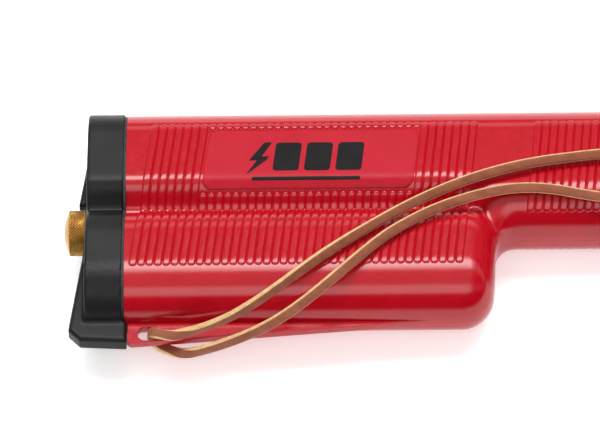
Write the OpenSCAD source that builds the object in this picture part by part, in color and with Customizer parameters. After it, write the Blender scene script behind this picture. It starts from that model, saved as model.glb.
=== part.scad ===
// Battery case and handle of a hand-held livestock prod, lying on its left broad side.
// +X runs from the end cap to the shaft socket, +Y to the top edge, +Z to the right broad side.

/* [Case] */
// Length of the wide part, from the end cap to the step under the handle
step_x = 142; // [139:1:150]
// Length of the case, from the end cap to the front of the handle
case_l = 302; // [296:1:312]
// Height of the wide part across its broad side
body_h = 97; // [94:1:98]
// Height of the handle across its broad side
handle_h = 58.8; // [58:0.2:59.2]
// Height of the upper lobe along the wide part
lobe_h = 53.5; // [52:0.5:54]
// Thickness of the case
case_t = 33; // [32:0.5:35]
// Wall thickness of the case
wall = 2.4; // [2:0.1:2.6]
// Depth of the valley between the two lobes
valley_d = 6.2; // [5:0.1:6.5]
// Radius of the lower front corner of the wide part
front_r = 10; // [8:0.5:11]
// Radius of the fillet between the step and the handle
fillet_r = 6; // [4:0.5:8]

/* [Keel] */
// Thickness of the keel along the case
keel_t = 3.4; // [3:0.2:5]
// Height of the keel below the case at the end cap
keel_h = 9.3; // [9:0.1:10.5]
// Length of the lace hole
hole_l = 8; // [7:0.5:9]
// Width of the lace hole
hole_w = 5.4; // [5:0.1:6]

/* [End cap] */
// Length of the end cap's band
cap_l = 15.1; // [14:0.1:18]
// How far the cap stands proud of the case
cap_proud = 0.5; // [0.3:0.1:1]
// Thickness of the wing ribs
wing_t = 5; // [3:0.5:6]
// Diameter of the thumb screw's head
knob_d = 17.5; // [14:0.5:18]
// Diameter of the thumb screw's shank
shank_d = 6.2; // [5:0.1:6.4]

/* [Cells] */
// Diameter of one cell
cell_d = 26; // [25:0.1:26.2]
// Length of one cell with its terminal
cell_l = 49.2; // [48.6:0.1:49.4]

/* [Trigger] */
// Middle of the trigger along the case
trigger_x = 240; // [235:1:246]
// Travel of the trigger button
trigger_travel = 3; // [2:0.5:3]

/* [Shaft socket] */
// Diameter of the bore that takes the shaft
socket_d = 13; // [12:0.1:14]
// Depth of that bore
socket_l = 36; // [30:1:38]
// Outside diameter of the collar nut
nut_d = 30; // [28:0.5:32]

/* [Lace] */
// Width of the flat lace
lace_w = 5.2; // [4:0.1:5.2]
// Thickness of the lace
lace_t = 3; // [2:0.1:3]

/* [Hidden] */
$fn = 48;

half_t = case_t / 2;
web_half = half_t - valley_d;
lower_y = -body_h;
upper_axis_y = -(lobe_h - half_t);
handle_axis_y = -(handle_h - half_t);
handle_x0 = step_x - 10;
lower_axis_y = lower_y + half_t;
lower_top_y = -61;
lower_top_r = 10;
plan_r = 9;
skin = 0.01;
screw_y = -53;
upper_cell_y = -24;
lower_cell_y = -75;
cell_x = -10.3;
cell_front_x = cell_x + 3 * cell_l;
socket_y = -handle_h / 2;
socket_out_r = 11;
socket_mouth_x = case_l + 16;
nut_l = 22;
knob_tip_x = -24;
knob_back_x = -21.7;
knob_face_x = -15.3;
keel_tip_x = 118;
keel_x = 1.2;
nut_front_x = case_l + nut_l;
part_low_y = lower_y - keel_h;
hole_x = 9.3;
hole_y = lower_y - 4.6;

// Distance that sets the origin under the middle of the part, on the floor
shift = [
    -(knob_tip_x + nut_front_x) / 2,
    -(part_low_y + cap_proud) / 2,
    half_t + cap_proud
];

// Route of the lace's upper strand, from the keel hole over the case to the knot
upper_route = [
    [9.8, -101.6, 0], [10.4, -101.8, 2.3], [13, -103.2, 3.6], [18, -104.6, 4.4],
    [22.8, -104, 5], [32, -102.5, 7.6], [41, -100.4, 11], [50, -96.8, 14.8],
    [59, -91.5, 17.8], [68, -84.6, 19.3], [77, -77.6, 20], [86, -70.8, 20],
    [96, -63.8, 20], [105, -57.8, 20], [114, -52.4, 20], [123.6, -47.4, 20],
    [133, -43.2, 20], [142, -39.9, 20], [152, -37, 20], [161, -35.1, 20],
    [170, -33.7, 20], [180, -32.4, 20], [194, -31.2, 20], [210, -30.4, 20],
    [230, -30, 20], [250, -30.2, 20], [266, -30.8, 20], [276, -31.3, 20.2],
    [284, -31.8, 20.8]
];

// Route of the lace's lower strand, under the keel, round its edge and over the case
lower_route = [
    [9.8, -101.6, 0], [10.4, -101.8, -2.3], [13, -103.6, -3.8], [18, -106, -3.9],
    [22.6, -107.6, -3.1], [28, -108.3, -0.8], [36, -108.3, 3], [45.4, -107.4, 7.4],
    [54.5, -105.4, 11.7], [63.6, -101.4, 15.6], [72.6, -95.2, 18.5],
    [81.8, -86.8, 19.8], [91, -77.6, 20], [100, -69.4, 20], [109.5, -62.6, 19.8],
    [118.7, -57.3, 19.6], [128, -53, 19.2], [137, -49.9, 19], [146.6, -47.7, 18.9],
    [156, -47.2, 18.8], [165, -48.1, 18.7], [174, -50.1, 18.6], [184, -51.8, 18.5],
    [196, -52, 18.5], [210, -50.4, 18.6], [226, -46.8, 18.9], [242, -42.4, 19.4],
    [256, -38.6, 19.9], [270, -35.4, 20.2], [284, -33.2, 20.8]
];

// Routes of the internal leads
positive_route = [
    [138.6, -67.8, 0], [138.4, -62, 0], [138, -56, 0], [138.6, -50.2, 0],
    [141, -48, 0], [146, -47.2, 0], [160, -47, 0], [178, -46.4, 0], [196, -46.4, 0.4],
    [212, -45.8, 1.6], [221, -43.6, 4.5], [228, -41.9, 5.6], [234.5, -41.8, 5.2],
    [237, -41.8, 3], [237.8, -41.8, 2.2], [238.9, -41.8, 2.2]
];
negative_route = [
    [139.8, -20, 3], [142.8, -20, 3], [145, -17.6, 6.4], [148, -14.4, 8.8],
    [152, -11.4, 9.2], [160, -9, 8], [170, -8.8, 5], [180, -9.6, 1.5],
    [187, -11.2, -1.4], [189.6, -12, -3.4], [190, -12, -5], [190, -12, -6.3]
];
switch_route = [
    [219, -37, -6.3], [219, -37, -5], [219.6, -37.2, -3.6], [223, -38.6, -3.4],
    [229, -41, -5], [234.5, -41.8, -5.2], [237, -41.8, -3], [237.8, -41.8, -2.2],
    [238.9, -41.8, -2.2]
];
output_a_route = [
    [216, -18, -6.3], [216, -18, -5], [216.6, -17.8, -2], [220, -16.6, 3],
    [226, -15, 6.4], [238, -13.6, 7.6], [252, -15.4, 6.6], [261, -20.6, 3.2],
    [265.4, -25, 0.8], [267.6, -26, 0], [269.9, -26, 0]
];
output_b_route = [
    [216, -33, -6.3], [216, -33, -5], [216.8, -32.4, -2], [220, -29.6, 3],
    [225, -28.4, 6.4], [238, -28.4, 7.6], [254, -29, 6.4], [261, -31, 3.2],
    [265.4, -32.6, 0.8], [267.6, -32.8, 0], [269.9, -32.8, 0]
];

// ---- helpers ------------------------------------------------------------------------

// Extrudes a section drawn in the YZ plane along X
module along_x(x0, x1)
    translate([x0, 0, 0])
        rotate([90, 0, 90])
            linear_extrude(x1 - x0)
                children();

// Extrudes an outline drawn in the XZ plane along Y, from y0 down to y1
module down_y(y0, y1)
    translate([0, y0, 0])
        rotate([90, 0, 0])
            linear_extrude(y0 - y1)
                children();

// Round bar along X
module rod_x(x0, x1, r, y = 0)
    translate([x0, y, 0])
        rotate([0, 90, 0])
            cylinder(h = x1 - x0, r = r);

// Box given by its lowest and highest corners
module block(low, high)
    translate(low)
        cube(high - low);

// Rectangle with round corners, given by its lowest and highest corners
module round_rect(low, high, r) {
    translate([low.x + r, low.y])
        square([high.x - low.x - 2 * r, high.y - low.y]);
    translate([low.x, low.y + r])
        square([high.x - low.x, high.y - low.y - 2 * r]);
    for (x = [low.x + r, high.x - r], y = [low.y + r, high.y - r])
        translate([x, y])
            circle(r);
}

function unit(v) = v / norm(v);

// Direction of a route at point i
function heading(route, i) = unit(
    route[min(i + 1, len(route) - 1)] - route[max(i - 1, 0)]
);

// Direction across a route that keeps a flat lace level
function across(route, i) =
    let (t = heading(route, i), y = [0, 1, 0]) unit(y - (y * t) * t);

// Ring of points round a route; a and b are the half sizes across and through it
function ring(route, i, a, b, sides) =
    let (t = heading(route, i), u = across(route, i), v = cross(t, u))
    [for (k = [0:sides - 1])
        let (ang = 360 * (k + 0.5) / sides) route[i] + a * cos(ang) * u + b * sin(ang) * v];

// Closed tube swept along a route as one solid
module sweep(route, a, b, sides) {
    count = len(route);
    points = [for (i = [0:count - 1]) each ring(route, i, a, b, sides)];
    walls = [for (i = [0:count - 2], k = [0:sides - 1])
        let (n = (k + 1) % sides)
        [i * sides + k, (i + 1) * sides + k, (i + 1) * sides + n, i * sides + n]];
    first = [for (k = [0:sides - 1]) k];
    last = [for (k = [sides - 1:-1:0]) (count - 1) * sides + k];
    polyhedron(points, concat(walls, [first, last]), convexity = 6);
}

module wire(route) sweep(route, 0.9, 0.9, 8);

// ---- sections of the case, drawn with Y across and Z up ------------------------------

// Round-ended section from the top edge down to the given lower axis
module lobe(axis_y, inset) {
    r = half_t - inset;
    for (y = [-half_t, axis_y])
        translate([y, 0])
            circle(r, $fn = 96);
    translate([axis_y, -r])
        square([-half_t - axis_y, 2 * r]);
}

module upper_lobe(inset) lobe(upper_axis_y, inset);

module lower_lobe(inset) {
    r = half_t - inset;
    top_r = lower_top_r - inset;
    edge = half_t - lower_top_r;
    translate([lower_axis_y, 0])
        circle(r, $fn = 96);
    for (z = [-edge, edge])
        translate([lower_top_y, z])
            circle(top_r);
    translate([lower_axis_y, -r])
        square([lower_top_y - lower_axis_y, 2 * r]);
    translate([lower_top_y - skin, -edge])
        square([top_r + skin, 2 * edge]);
}

module body_section(inset) {
    upper_lobe(inset);
    lower_lobe(inset);
    translate([lower_top_y, inset - web_half])
        square([lower_top_y * -1 - half_t * 2 - 7, 2 * (web_half - inset)]);
}

// Side outline of the wide part, with its round lower front corner
module body_side(inset)
    round_rect(
        [-40, lower_y + inset], [step_x - inset, 40], front_r - inset
    );

// Plan outline of the wide part, with its round front edges
module body_plan(inset)
    round_rect(
        [-40, inset - half_t], [step_x - inset, half_t - inset], plan_r - inset
    );

// Handle, from inside the wide part to its rounded front
module handle_solid(inset)
    intersection() {
        along_x(handle_x0 + inset, case_l - inset)
            lobe(handle_axis_y, inset);
        translate([0, 0, -half_t])
            linear_extrude(case_t)
                round_rect([-40, inset - handle_h], [case_l - inset, -inset], 12 - inset);
        down_y(0, -handle_h)
            mirror([0, 1])
                round_rect(
                    [-40, inset - half_t], [case_l - inset, half_t - inset], 8 - inset
                );
    }

module case_solid(x0, inset) {
    handle_solid(inset);
    intersection() {
        along_x(x0, step_x - inset)
            body_section(inset);
        translate([0, 0, -half_t])
            linear_extrude(case_t)
                body_side(inset);
        down_y(0, lower_y)
            body_plan(inset);
    }
}

// Fillet in the corner between the step and the underside of the handle
module step_fillet()
    difference() {
        block(
            [step_x - 4, -handle_h - fillet_r, -8],
            [step_x + fillet_r, -handle_h + 4, 8]
        );
        translate([step_x + fillet_r, -handle_h - fillet_r, -20])
            cylinder(h = 40, r = fillet_r);
        case_solid(-1, wall);
    }

module keel_outline()
    difference() {
        polygon([
            [keel_x, lower_y + 6], [keel_x, part_low_y + 1.2], [keel_x + 0.6, part_low_y + 0.3],
            [keel_x + 1.8, part_low_y], [keel_tip_x, lower_y],
            [keel_tip_x, lower_y + 6]
        ]);
        translate([hole_x, hole_y]) {
            for (x = [-1, 1])
                translate([x * (hole_l - hole_w) / 2, 0])
                    circle(hole_w / 2);
            translate([(hole_w - hole_l) / 2, -hole_w / 2])
                square([hole_l - hole_w, hole_w]);
        }
    }

// Half of the keel above the seam; the case's hollow is cut away
module keel_half()
    difference() {
        linear_extrude(keel_t / 2)
            keel_outline();
        case_solid(-1, wall);
    }

bezel_low = [trigger_x - 17, -8];
bezel_high = [trigger_x + 17, 8];
bezel_top_y = 7.5 - handle_h;

// One half of the case, on the side where z is above zero
module case_half() {
    difference() {
        union() {
            difference() {
                case_solid(0, 0);
                case_solid(-1, wall);
            }
            step_fillet();
        }
        block([-50, -200, -50], [400, 50, 0]);
        rod_x(case_l - 10, case_l + 10, socket_out_r, socket_y);
        down_y(bezel_top_y, bezel_top_y - 24)
            round_rect(bezel_low, bezel_high, 4);
    }
    keel_half();
}

// ---- case ----------------------------------------------------------------------------

module case_shell_right()
    color([0.81, 0.07, 0.10])
        case_half();

module case_shell_left()
    color([0.81, 0.07, 0.10])
        mirror([0, 0, 1])
            case_half();

label_t = 0.25;

module label_plate()
    color([0.80, 0.22, 0.24])
        intersection() {
            along_x(20, 130)
                difference() {
                    upper_lobe(-label_t);
                    upper_lobe(0);
                }
            translate([0, 0, 5])
                linear_extrude(20)
                    polygon([
                        [35, -16.8], [111, -16.8], [114.6, -19], [114.6, -21],
                        [112.4, -41.4], [110, -43], [33.4, -43], [30.4, -40.6],
                        [30.4, -38.6], [32.6, -18.8]
                    ]);
        }

// ---- end cap -------------------------------------------------------------------------

cap_wall = 2.2;
cap_boss_r = 6.4;
cap_back_x = -cap_l;
gasket_t = 1;
foot_x = 1;

module end_cap()
    color([0.07, 0.07, 0.07])
        difference() {
            union() {
                along_x(cap_back_x, -gasket_t)
                    body_section(-cap_proud);
                translate([0, 0, -wing_t / 2])
                    linear_extrude(wing_t)
                        polygon([
                            [cap_back_x + 1, -17], [cap_back_x, -19],
                            [-17.8, -41.6], [cap_back_x + 1, -41.6]
                        ]);
                translate([0, 0, -3.4])
                    linear_extrude(6.8)
                        polygon([
                            [cap_back_x + 1, -62.4], [cap_back_x, -63],
                            [-16.1, -64], [-20.9, -96.6], [-21.6, -98.4],
                            [-16.6, -104.6], [foot_x, -104.6], [foot_x, lower_y - 0.2],
                            [-gasket_t, lower_y - 0.2], [-gasket_t, -90],
                            [cap_back_x + 1, -90]
                        ]);
            }
            difference() {
                along_x(cap_back_x + cap_wall, 1)
                    body_section(wall);
                rod_x(cap_back_x, -4, cap_boss_r, screw_y);
            }
            rod_x(-40, 0, shank_d / 2 + 0.1, screw_y);
        }

module cap_gasket()
    color([0.10, 0.10, 0.10])
        along_x(-gasket_t, 0)
            difference() {
                body_section(0.3);
                body_section(wall);
            }

// Plate across both columns, with a sprung tongue on each cell
module cap_contact_strap()
    color([0.78, 0.66, 0.38]) {
        difference() {
            block([-12.9, -80, -5], [-12.4, -18, 5]);
            rod_x(-20, 0, cap_boss_r + 0.2, screw_y);
        }
        for (y = [upper_cell_y, lower_cell_y])
            translate([0, y, -3])
                linear_extrude(6)
                    polygon([
                        [-12.4, -6], [-10.9, 0], [-12.4, 6], [-12.4, 5.2],
                        [-11.6, 0], [-12.4, -5.2]
                    ]);
    }

module thumb_screw()
    color([0.72, 0.52, 0.22]) {
        intersection() {
            rod_x(knob_tip_x, knob_face_x, knob_d / 2, screw_y);
            translate([knob_tip_x + 17.8, screw_y, 0])
                sphere(17.8, $fn = 96);
        }
        rod_x(knob_face_x - 1, 13, shank_d / 2, screw_y);
    }

module screw_retaining_ring()
    color([0.70, 0.71, 0.73])
        difference() {
            rod_x(-3.7, -2.7, 5.4, screw_y);
            rod_x(-5, 0, shank_d / 2, screw_y);
        }

insert_x0 = 3;
insert_x1 = 14;
insert_r = 4.5;

module screw_insert()
    color([0.76, 0.58, 0.28])
        difference() {
            rod_x(insert_x0, insert_x1, insert_r, screw_y);
            rod_x(0, 20, shank_d / 2 + 0.05, screw_y);
        }

module battery_divider()
    color([0.15, 0.15, 0.16]) {
        difference() {
            rod_x(1.5, 18, cap_boss_r, screw_y);
            rod_x(0, insert_x1, insert_r, screw_y);
        }
        difference() {
            block([2, screw_y - 0.8, -7.5], [134, screw_y + 0.8, 7.5]);
            rod_x(0, 17, cap_boss_r - 1, screw_y);
        }
    }

// ---- cells and contacts --------------------------------------------------------------

nub_l = 1.5;
nub_r = 3.6;

// One cell in place n of a column, with its terminal to the front or the back
module cell(n, y, front)
    color([0.16, 0.17, 0.19]) {
        x0 = cell_x + n * cell_l;
        rod_x(x0 + (front ? 0 : nub_l), x0 + cell_l - (front ? nub_l : 0), cell_d / 2, y);
        rod_x(x0, x0 + cell_l, nub_r, y);
    }

module contact_carrier()
    color([0.16, 0.16, 0.17])
        difference() {
            along_x(139.8, 141.8)
                upper_lobe(wall + 0.2);
            block([130, -60, -20], [150, -45, 20]);
            translate([130, upper_cell_y + 4, 3])
                rotate([0, 90, 0])
                    cylinder(h = 20, r = 1.2);
        }

// Plate with a sprung tongue that touches the cell in front of it
module front_contact(y, plate_x)
    color([0.78, 0.66, 0.38]) {
        block([plate_x - 0.5, y - 7, -4.5], [plate_x, y + 7, 4.5]);
        translate([0, y, -3])
            linear_extrude(6)
                polygon([
                    [plate_x - 0.5, -5.6], [cell_front_x + 0.1, 0], [plate_x - 0.5, 5.6],
                    [plate_x - 0.5, 4.8], [cell_front_x + 0.8, 0], [plate_x - 0.5, -4.8]
                ]);
    }

module front_contact_upper() front_contact(upper_cell_y, 139.7);

module front_contact_lower() front_contact(lower_cell_y, step_x - wall - 0.1);

// ---- electronics ---------------------------------------------------------------------

core_x = 150;
core_l = 26;
core_h = 30;
core_t = 15;
leg = 6;
window_l = (core_l - 3 * leg) / 2;

module transformer_core()
    color([0.45, 0.45, 0.47])
        translate([core_x, socket_y - core_h / 2, -core_t / 2])
            difference() {
                cube([core_l, core_h, core_t]);
                for (x = [leg, 2 * leg + window_l])
                    translate([x, leg, -1])
                        cube([window_l, core_h - 2 * leg, core_t + 2]);
            }

// Box ring round the core's middle leg, given by its inner and outer margins
module leg_ring(inner, outer, h)
    translate([core_x + core_l / 2, socket_y, 0])
        difference() {
            block(
                [-leg / 2 - outer, -h / 2, -core_t / 2 - outer],
                [leg / 2 + outer, h / 2, core_t / 2 + outer]
            );
            block(
                [-leg / 2 - inner, -h, -core_t / 2 - inner],
                [leg / 2 + inner, h, core_t / 2 + inner]
            );
        }

module transformer_bobbin()
    color([0.85, 0.82, 0.72]) {
        leg_ring(0.1, 0.9, core_h - 2 * leg - 0.4);
        for (y = [-8.3, 8.3])
            translate([0, y, 0])
                leg_ring(0.8, 3.6, 0.9);
    }

module transformer_winding()
    color([0.70, 0.36, 0.14])
        leg_ring(0.9, 3.4, 15.4);

board_z = -8;
board_t = 1.6;
board_low = [182, -43];
board_high = [222, -11];

module circuit_board()
    color([0.10, 0.35, 0.18])
        translate([0, 0, board_z])
            linear_extrude(board_t)
                difference() {
                    round_rect(board_low, board_high, 1.5);
                    for (x = [board_low.x + 3, board_high.x - 3])
                        translate([x, board_high.y - 3])
                            circle(1.4);
                }

module capacitor()
    color([0.15, 0.22, 0.45])
        translate([204, -26, board_z + board_t])
            cylinder(h = 15, r = 6);

module power_transistor()
    color([0.12, 0.12, 0.12])
        translate([186, -36, board_z + board_t])
            cube([4.5, 10, 15]);

module wire_battery_positive() color([0.75, 0.10, 0.10]) wire(positive_route);

module wire_battery_negative() color([0.10, 0.10, 0.10]) wire(negative_route);

module wire_switch() color([0.75, 0.10, 0.10]) wire(switch_route);

module wire_output_a() color([0.85, 0.80, 0.20]) wire(output_a_route);

module wire_output_b() color([0.88, 0.88, 0.86]) wire(output_b_route);

// ---- trigger -------------------------------------------------------------------------

button_low = [trigger_x - 12, -4.6];
button_high = [trigger_x + 12, 4.6];
button_gap = 0.3;
button_y = -handle_h - 6;
flange_y0 = bezel_top_y + 1.6;
flange_y1 = bezel_top_y + 0.1;

module trigger_bezel()
    color([0.08, 0.08, 0.08])
        difference() {
            down_y(bezel_top_y, bezel_top_y - 8.8)
                round_rect(bezel_low, bezel_high, 4);
            down_y(bezel_top_y + 1, bezel_top_y - 15)
                round_rect(
                    [button_low.x - button_gap, button_low.y - button_gap],
                    [button_high.x + button_gap, button_high.y + button_gap],
                    2 + button_gap
                );
        }

module trigger_button()
    color([0.09, 0.09, 0.09]) {
        down_y(flange_y0, button_y)
            round_rect(button_low, button_high, 2);
        down_y(flange_y0, flange_y1)
            round_rect([trigger_x - 14, -6.2], [trigger_x + 14, 6.2], 2);
    }

spring_x = trigger_x - 7;
spring_coils = 6;
spring_h = 9;
spring_steps = 12;
spring_route = [
    for (i = [0:spring_coils * spring_steps])
        let (a = 360 * i / spring_steps)
        [
            spring_x + 2.4 * cos(a),
            flange_y0 + 0.5 + spring_h * i / (spring_coils * spring_steps),
            2.4 * sin(a)
        ]
];

module trigger_spring()
    color([0.62, 0.63, 0.65])
        sweep(spring_route, 0.35, 0.35, 6);

switch_low_y = flange_y0 + trigger_travel + 0.3;
bracket_y = 22.3 - handle_h;

module trigger_switch()
    color([0.11, 0.11, 0.12]) {
        block([trigger_x - 1, switch_low_y + 0.8, -3.2], [trigger_x + 12, bracket_y, 3.2]);
        block([trigger_x + 4, switch_low_y, -1.2], [trigger_x + 7, switch_low_y + 0.8, 1.2]);
    }

module switch_bracket()
    color([0.66, 0.67, 0.69])
        difference() {
            block([trigger_x - 14, bracket_y, -10], [trigger_x + 14, bracket_y + 1, 10]);
            translate([spring_x, -20, 0])
                rotate([90, 0, 0])
                    cylinder(h = 20, r = 1.6);
        }

// ---- front end -----------------------------------------------------------------------

socket_back_x = socket_mouth_x - socket_l - 6;
pin_offset = 3.4;

module shaft_socket()
    color([0.12, 0.12, 0.13])
        difference() {
            union() {
                rod_x(socket_back_x, socket_mouth_x, socket_out_r - 0.02, socket_y);
                intersection() {
                    rod_x(case_l - 7.4, case_l - wall - 0.1, 12.8, socket_y);
                    handle_solid(wall + 0.1);
                }
            }
            rod_x(socket_mouth_x - socket_l, socket_mouth_x + 1, socket_d / 2, socket_y);
            for (y = [-pin_offset, pin_offset])
                rod_x(socket_back_x - 1, socket_mouth_x, 1.5, socket_y + y);
        }

module output_contacts()
    color([0.80, 0.64, 0.32])
        for (y = [-pin_offset, pin_offset]) {
            rod_x(socket_back_x - 6, socket_mouth_x - socket_l - 0.2, 1.45, socket_y + y);
            rod_x(socket_back_x - 2, socket_back_x, 2.4, socket_y + y);
        }

ferrule_l = 2.6;

module front_ferrule()
    color([0.07, 0.07, 0.07])
        difference() {
            rod_x(case_l, case_l + ferrule_l, 14, socket_y);
            rod_x(case_l - 1, case_l + 5, socket_out_r, socket_y);
        }

thread_gap = 0.05;
nut_x0 = case_l + ferrule_l + 0.4;

module collar_nut()
    color([0.08, 0.08, 0.08])
        difference() {
            rod_x(nut_x0, nut_front_x, nut_d / 2, socket_y);
            rod_x(nut_x0 - 1, socket_mouth_x + 2.4, socket_out_r + thread_gap, socket_y);
            rod_x(nut_x0, nut_front_x + 1, socket_d / 2 + 0.6, socket_y);
            for (a = [0:20:340])
                translate([0, socket_y, 0])
                    rotate([a, 0, 0])
                        rod_x(nut_x0 - 1, nut_front_x - 4, 0.9, nut_d / 2 + 0.35);
        }

module seal_ring()
    color([0.18, 0.18, 0.18])
        difference() {
            rod_x(socket_mouth_x + 0.4, socket_mouth_x + 2.3, 10.8, socket_y);
            rod_x(socket_mouth_x, socket_mouth_x + 3, socket_d / 2 + 0.3, socket_y);
        }

// ---- lace ----------------------------------------------------------------------------

module strand(route)
    sweep(route, lace_w / 2, lace_t / 2 + 0.2, 8);

module lace_upper() color([0.48, 0.22, 0.14]) strand(upper_route);

module lace_lower() color([0.48, 0.22, 0.14]) strand(lower_route);

module lace_knot()
    color([0.45, 0.20, 0.12])
        translate([289, -32.4, 22.4])
            sphere(5.6, $fn = 32);

// ---- nodes ---------------------------------------------------------------------------

translate(shift) {
    case_shell_right();
    case_shell_left();
    label_plate();
    end_cap();
    cap_gasket();
    cap_contact_strap();
    thumb_screw();
    screw_retaining_ring();
    screw_insert();
    battery_divider();
    cell(0, upper_cell_y, false);  // battery_1
    cell(1, upper_cell_y, false);  // battery_2
    cell(2, upper_cell_y, false);  // battery_3
    cell(0, lower_cell_y, true);  // battery_4
    cell(1, lower_cell_y, true);  // battery_5
    cell(2, lower_cell_y, true);  // battery_6
    contact_carrier();
    front_contact_upper();
    front_contact_lower();
    transformer_core();
    transformer_bobbin();
    transformer_winding();
    circuit_board();
    capacitor();
    power_transistor();
    trigger_button();
    trigger_bezel();
    trigger_spring();
    trigger_switch();
    switch_bracket();
    wire_battery_positive();
    wire_battery_negative();
    wire_switch();
    wire_output_a();
    wire_output_b();
    output_contacts();
    shaft_socket();
    front_ferrule();
    collar_nut();
    seal_ring();
    lace_upper();
    lace_lower();
    lace_knot();
}
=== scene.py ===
"""Looks of a livestock prod's battery case and handle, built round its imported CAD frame.

Shapes are worked out in millimetres in the case's own coordinates: x from the end cap's joint,
y down from the top edge (negative), z from the seam between the case's two halves.
"""

import math

import bmesh
import bpy
import numpy as np
from mathutils import Matrix, Vector


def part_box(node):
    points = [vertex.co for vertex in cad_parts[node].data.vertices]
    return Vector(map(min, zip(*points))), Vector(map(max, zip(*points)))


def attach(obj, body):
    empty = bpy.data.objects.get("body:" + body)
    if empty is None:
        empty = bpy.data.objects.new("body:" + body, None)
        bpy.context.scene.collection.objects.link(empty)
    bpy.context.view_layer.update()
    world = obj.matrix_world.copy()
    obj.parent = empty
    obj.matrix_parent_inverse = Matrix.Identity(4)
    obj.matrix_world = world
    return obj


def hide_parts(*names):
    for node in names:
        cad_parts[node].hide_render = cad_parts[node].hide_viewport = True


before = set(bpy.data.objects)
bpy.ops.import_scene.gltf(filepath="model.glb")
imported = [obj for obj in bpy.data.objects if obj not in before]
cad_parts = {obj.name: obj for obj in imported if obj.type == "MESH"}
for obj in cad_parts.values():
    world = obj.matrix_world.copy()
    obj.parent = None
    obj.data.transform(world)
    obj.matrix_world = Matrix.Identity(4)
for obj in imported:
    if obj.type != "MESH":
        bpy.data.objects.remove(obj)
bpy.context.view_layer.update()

MM = 0.001

# ---- where things are, in millimetres from the case's reference point -----------------

shell_low, shell_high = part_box("case_shell_right")
ORIGIN = np.array([shell_low[0], shell_high[1], shell_low[2]])


def millimetres(node):
    """Lowest and highest corner of a CAD node in the case's own millimetres."""
    low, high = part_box(node)
    return (np.array(low) - ORIGIN) / MM, (np.array(high) - ORIGIN) / MM


def metres(point):
    """A point of the case's own millimetres in the row frame."""
    return ORIGIN + np.asarray(point, dtype=float) * MM


shell_min, shell_max = millimetres("case_shell_right")
cap_max = millimetres("end_cap")[1]
knob_min, knob_max = millimetres("thumb_screw")
contact_max = millimetres("front_contact_lower")[1]

HALF_T = shell_max[2]
CASE_L = shell_max[0]
BODY_H = 97.0
LOBE_H = 53.5
HANDLE_H = 58.8
WALL = 2.4
THIN_WALL = 1.2
CONTACT_GAP = 0.1
STEP_PROUD = 0.2
STEP_X = contact_max[0] + WALL + CONTACT_GAP + STEP_PROUD
KEEL_LOW = shell_min[1]
KEEL_X = 1.2
KEEL_TIP_X = 118.0
KEEL_T = 3.4
CAP_PROUD = cap_max[1]
CAP_BACK = -15.1
CAP_FRONT = -1.0
CAP_WALL = 2.2
SCREW_Y = -53.0

# ---- camera, before everything else ----------------------------------------------------

VIEW_WIDTH_MM = 232.2
CAMERA_DISTANCE = 1.5
CAMERA_ELEVATION = 53.0
CAMERA_ROLL = -0.55
SENSOR = 36.0
AIM = (66.9, -44.6, 0.0)


def add_camera():
    """Camera at the photo's angle, looking at AIM."""
    data = bpy.data.cameras.new("camera")
    data.sensor_width = SENSOR
    data.lens = SENSOR * CAMERA_DISTANCE / (VIEW_WIDTH_MM * MM)
    camera = bpy.data.objects.new("camera", data)
    bpy.context.collection.objects.link(camera)
    tilt = math.radians(CAMERA_ELEVATION)
    away = Vector((0.0, -math.cos(tilt), math.sin(tilt)))
    camera.location = Vector(metres(AIM)) + away * CAMERA_DISTANCE
    turn = away.to_track_quat("Z", "Y").to_matrix() @ Matrix.Rotation(
        math.radians(CAMERA_ROLL), 3, "Z"
    )
    camera.rotation_euler = turn.to_euler()
    bpy.context.scene.camera = camera


add_camera()

# ---- mesh helpers ----------------------------------------------------------------------


def new_object(name, points, faces, smooth=True):
    """A mesh object from points in the case's own millimetres."""
    mesh = bpy.data.meshes.new(name)
    coords = ORIGIN + np.asarray(points, dtype=float) * MM
    mesh.from_pydata([tuple(p) for p in coords], [], [tuple(int(i) for i in f) for f in faces])
    mesh.validate()
    mesh.update()
    obj = bpy.data.objects.new(name, mesh)
    bpy.context.collection.objects.link(obj)
    if smooth:
        for polygon in mesh.polygons:
            polygon.use_smooth = True
    return obj


def finish_piece(obj, body, slot, *nodes):
    """Rides obj on a body and hides the CAD nodes that it stands for; slot is not used."""
    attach(obj, body)
    if nodes:
        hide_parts(*nodes)


def join_parts(parts):
    """Several (points, faces) pairs as one."""
    points, faces, start = [], [], 0
    for part_points, part_faces in parts:
        points.append(np.asarray(part_points, dtype=float))
        faces += [[i + start for i in face] for face in part_faces]
        start += len(part_points)
    return np.concatenate(points), faces


def grid_faces(rows, columns, wrap=False):
    """Quads of a grid of rows by columns; wrap closes each row on itself."""
    faces = []
    last = columns if wrap else columns - 1
    for r in range(rows - 1):
        for c in range(last):
            n = (c + 1) % columns
            a, b = r * columns + c, r * columns + n
            faces.append([a, b, b + columns, a + columns])
    return faces


def tube_faces(rings, sides):
    """Faces of a closed tube of rings, with a face at each end."""
    faces = grid_faces(rings, sides, wrap=True)
    faces.append(list(range(sides))[::-1])
    faces.append(list(range((rings - 1) * sides, rings * sides)))
    return faces


def unit(vectors):
    """Each row of vectors at length 1."""
    return vectors / np.linalg.norm(vectors, axis=1)[:, None]


def taken(obj, side):
    """An object's points in case millimetres and its faces; side -1 mirrors it to the left."""
    points = (np.array([v.co[:] for v in obj.data.vertices]) - ORIGIN) / MM
    points[:, 2] *= side
    faces = [list(p.vertices) for p in obj.data.polygons]
    return points, faces if side > 0 else [f[::-1] for f in faces]


# ---- the case as a smooth distance field -----------------------------------------------


def smooth_union(a, b, k):
    """Inside where a or b is inside, with a fillet about k wide where they meet."""
    h = np.maximum(k - np.abs(a - b), 0.0) / k
    return np.minimum(a, b) - h * h * k * 0.25


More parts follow.
